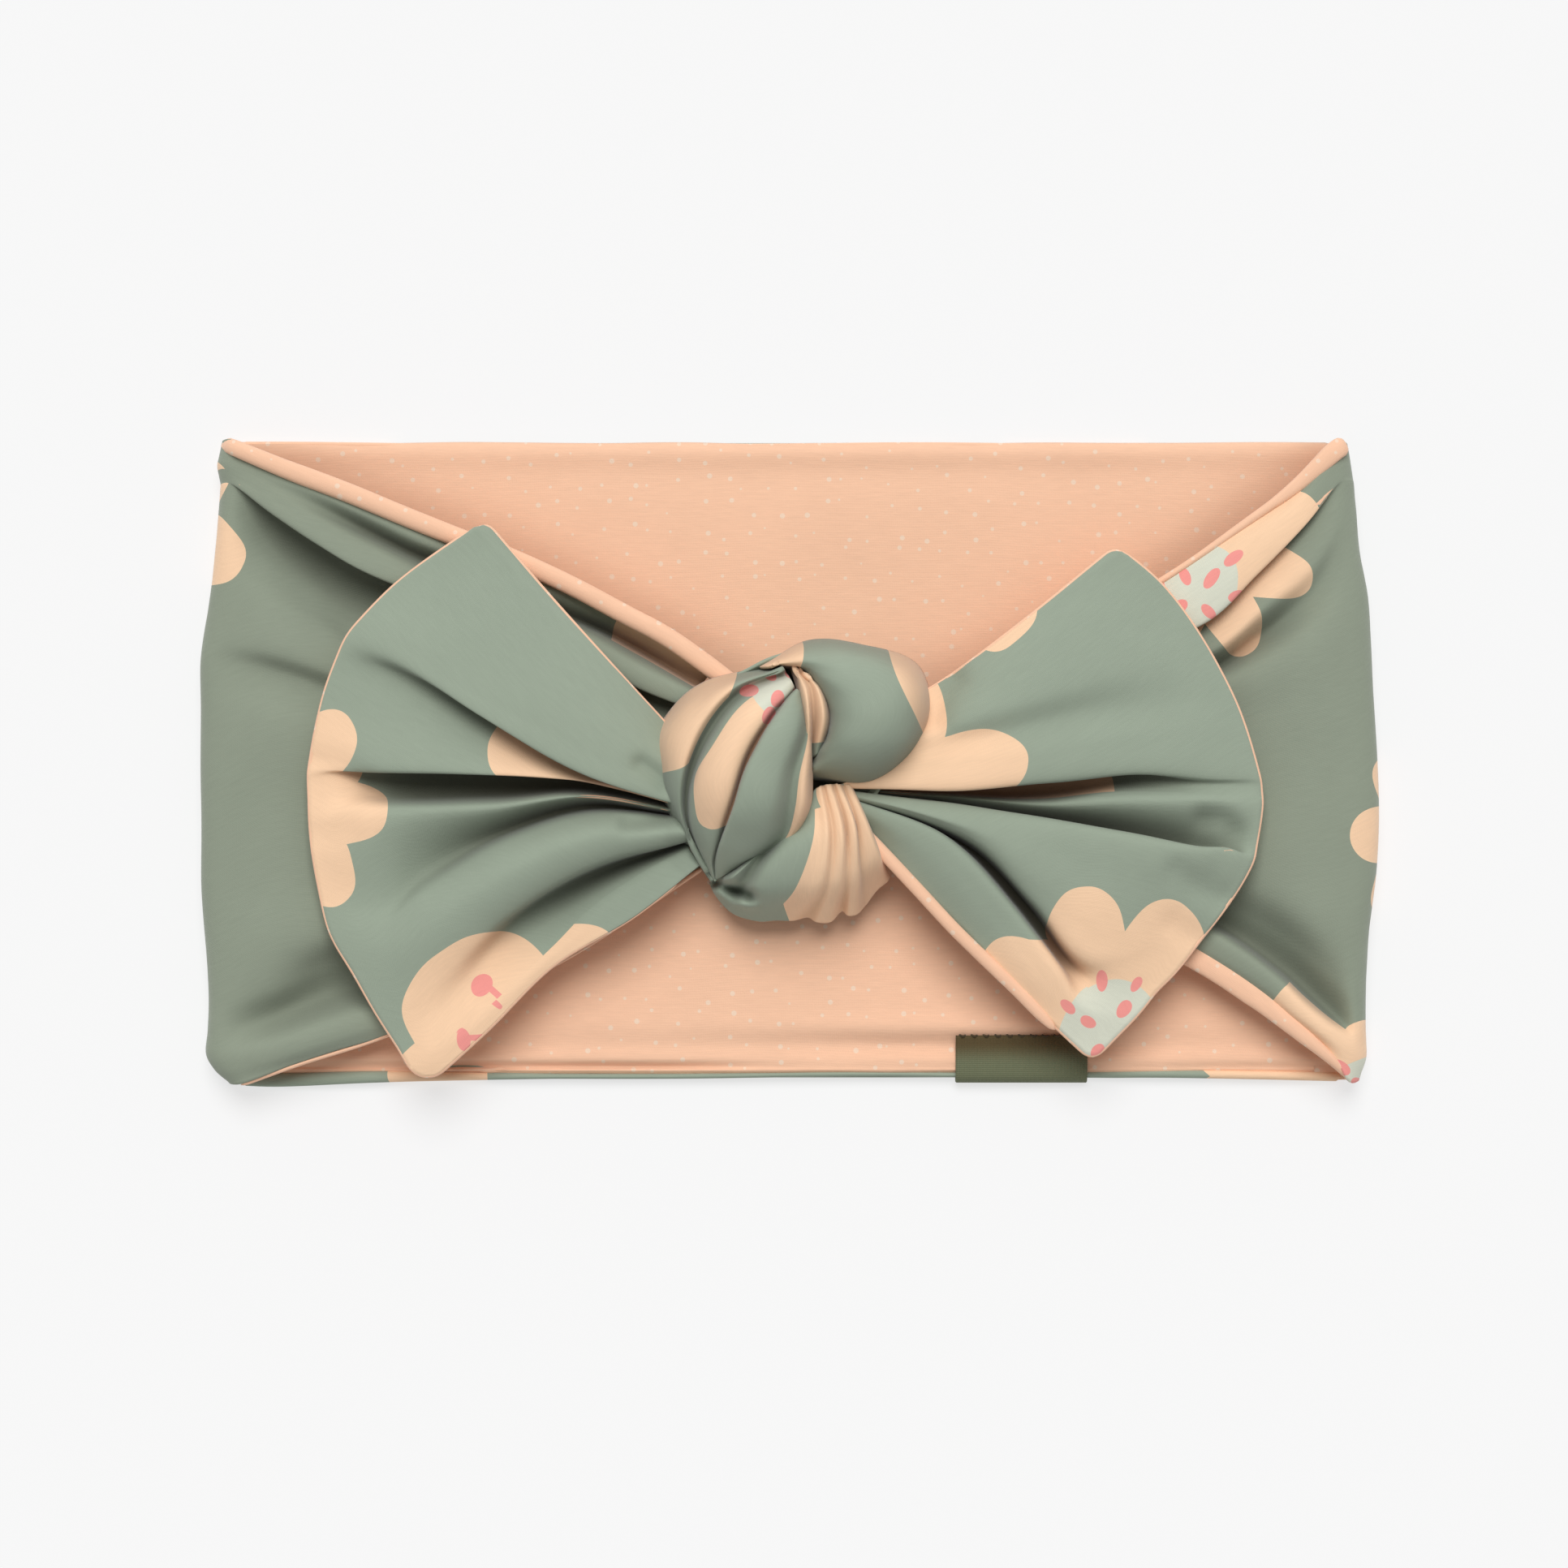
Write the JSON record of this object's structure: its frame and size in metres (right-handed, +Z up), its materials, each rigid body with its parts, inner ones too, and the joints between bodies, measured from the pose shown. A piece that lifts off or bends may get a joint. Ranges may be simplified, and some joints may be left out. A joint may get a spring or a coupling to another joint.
{
  "type": "knotted headband",
  "caption": "Child's stretch headband with a knotted bow, printed knit outside and dotted lining inside, laid flat with the bow on top.",
  "frame": {"origin": "middle of the flattened band's outline, on the surface it lies on", "axes": "+X along the band towards its right side fold, +Y across the band towards its upper edge, +Z up out of the surface towards the bow"},
  "size_m": [0.2, 0.1102, 0.0298],
  "materials": {
    "printed_shell": "fine cotton jersey in sage green with large peach flowers",
    "dotted_lining": "fine cotton jersey in peach with small off-white dots",
    "seam_thread": "rolled edge seams and sewing thread in peach",
    "woven_label": "tight woven tape in olive green with no lettering"
  },
  "bodies": {
    "band": {"shell_back": "printed_shell", "lining_back": "dotted_lining", "shell_fold_left": "printed_shell", "lining_fold_left": "dotted_lining", "shell_fold_right": "printed_shell", "lining_fold_right": "dotted_lining", "shell_front_left": "printed_shell", "lining_front_left": "dotted_lining", "shell_front_right": "printed_shell", "lining_front_right": "dotted_lining", "seam_band_bottom": "seam_thread", "seam_band_top": "seam_thread", "seam_front_left_bottom": "seam_thread", "seam_front_left_top": "seam_thread", "seam_front_right_bottom": "seam_thread", "seam_front_right_top": "seam_thread", "label": "woven_label", "label_thread": "seam_thread"},
    "knot": {"knot_core": "printed_shell", "knot_wrap_left": "printed_shell", "knot_wrap_right": "printed_shell", "knot_wrap_lower": "printed_shell"},
    "left_ear": {"shell_ear_left": "printed_shell", "lining_ear_left": "dotted_lining", "seam_ear_left": "seam_thread"},
    "right_ear": {"shell_ear_right": "printed_shell", "lining_ear_right": "dotted_lining", "seam_ear_right": "seam_thread"}
  },
  "joints": [
    {"name": "front_lift", "type": "slide", "parent": "band", "child": "knot", "axis": [0, 0, 1], "range_m": [0, 0.035], "deforming": ["shell_front_left", "lining_front_left", "shell_front_right", "lining_front_right", "seam_front_left_bottom", "seam_front_left_top", "seam_front_right_bottom", "seam_front_right_top"]},
    {"name": "left_ear_lift", "type": "hinge", "parent": "knot", "child": "left_ear", "pos_m": [-0.0246, -0.0037, 0.018], "axis": [0, 1, 0], "range_deg": [0, 60]},
    {"name": "right_ear_lift", "type": "hinge", "parent": "knot", "child": "right_ear", "pos_m": [0.0286, -0.0037, 0.018], "axis": [0, -1, 0], "range_deg": [0, 60]}
  ]
}
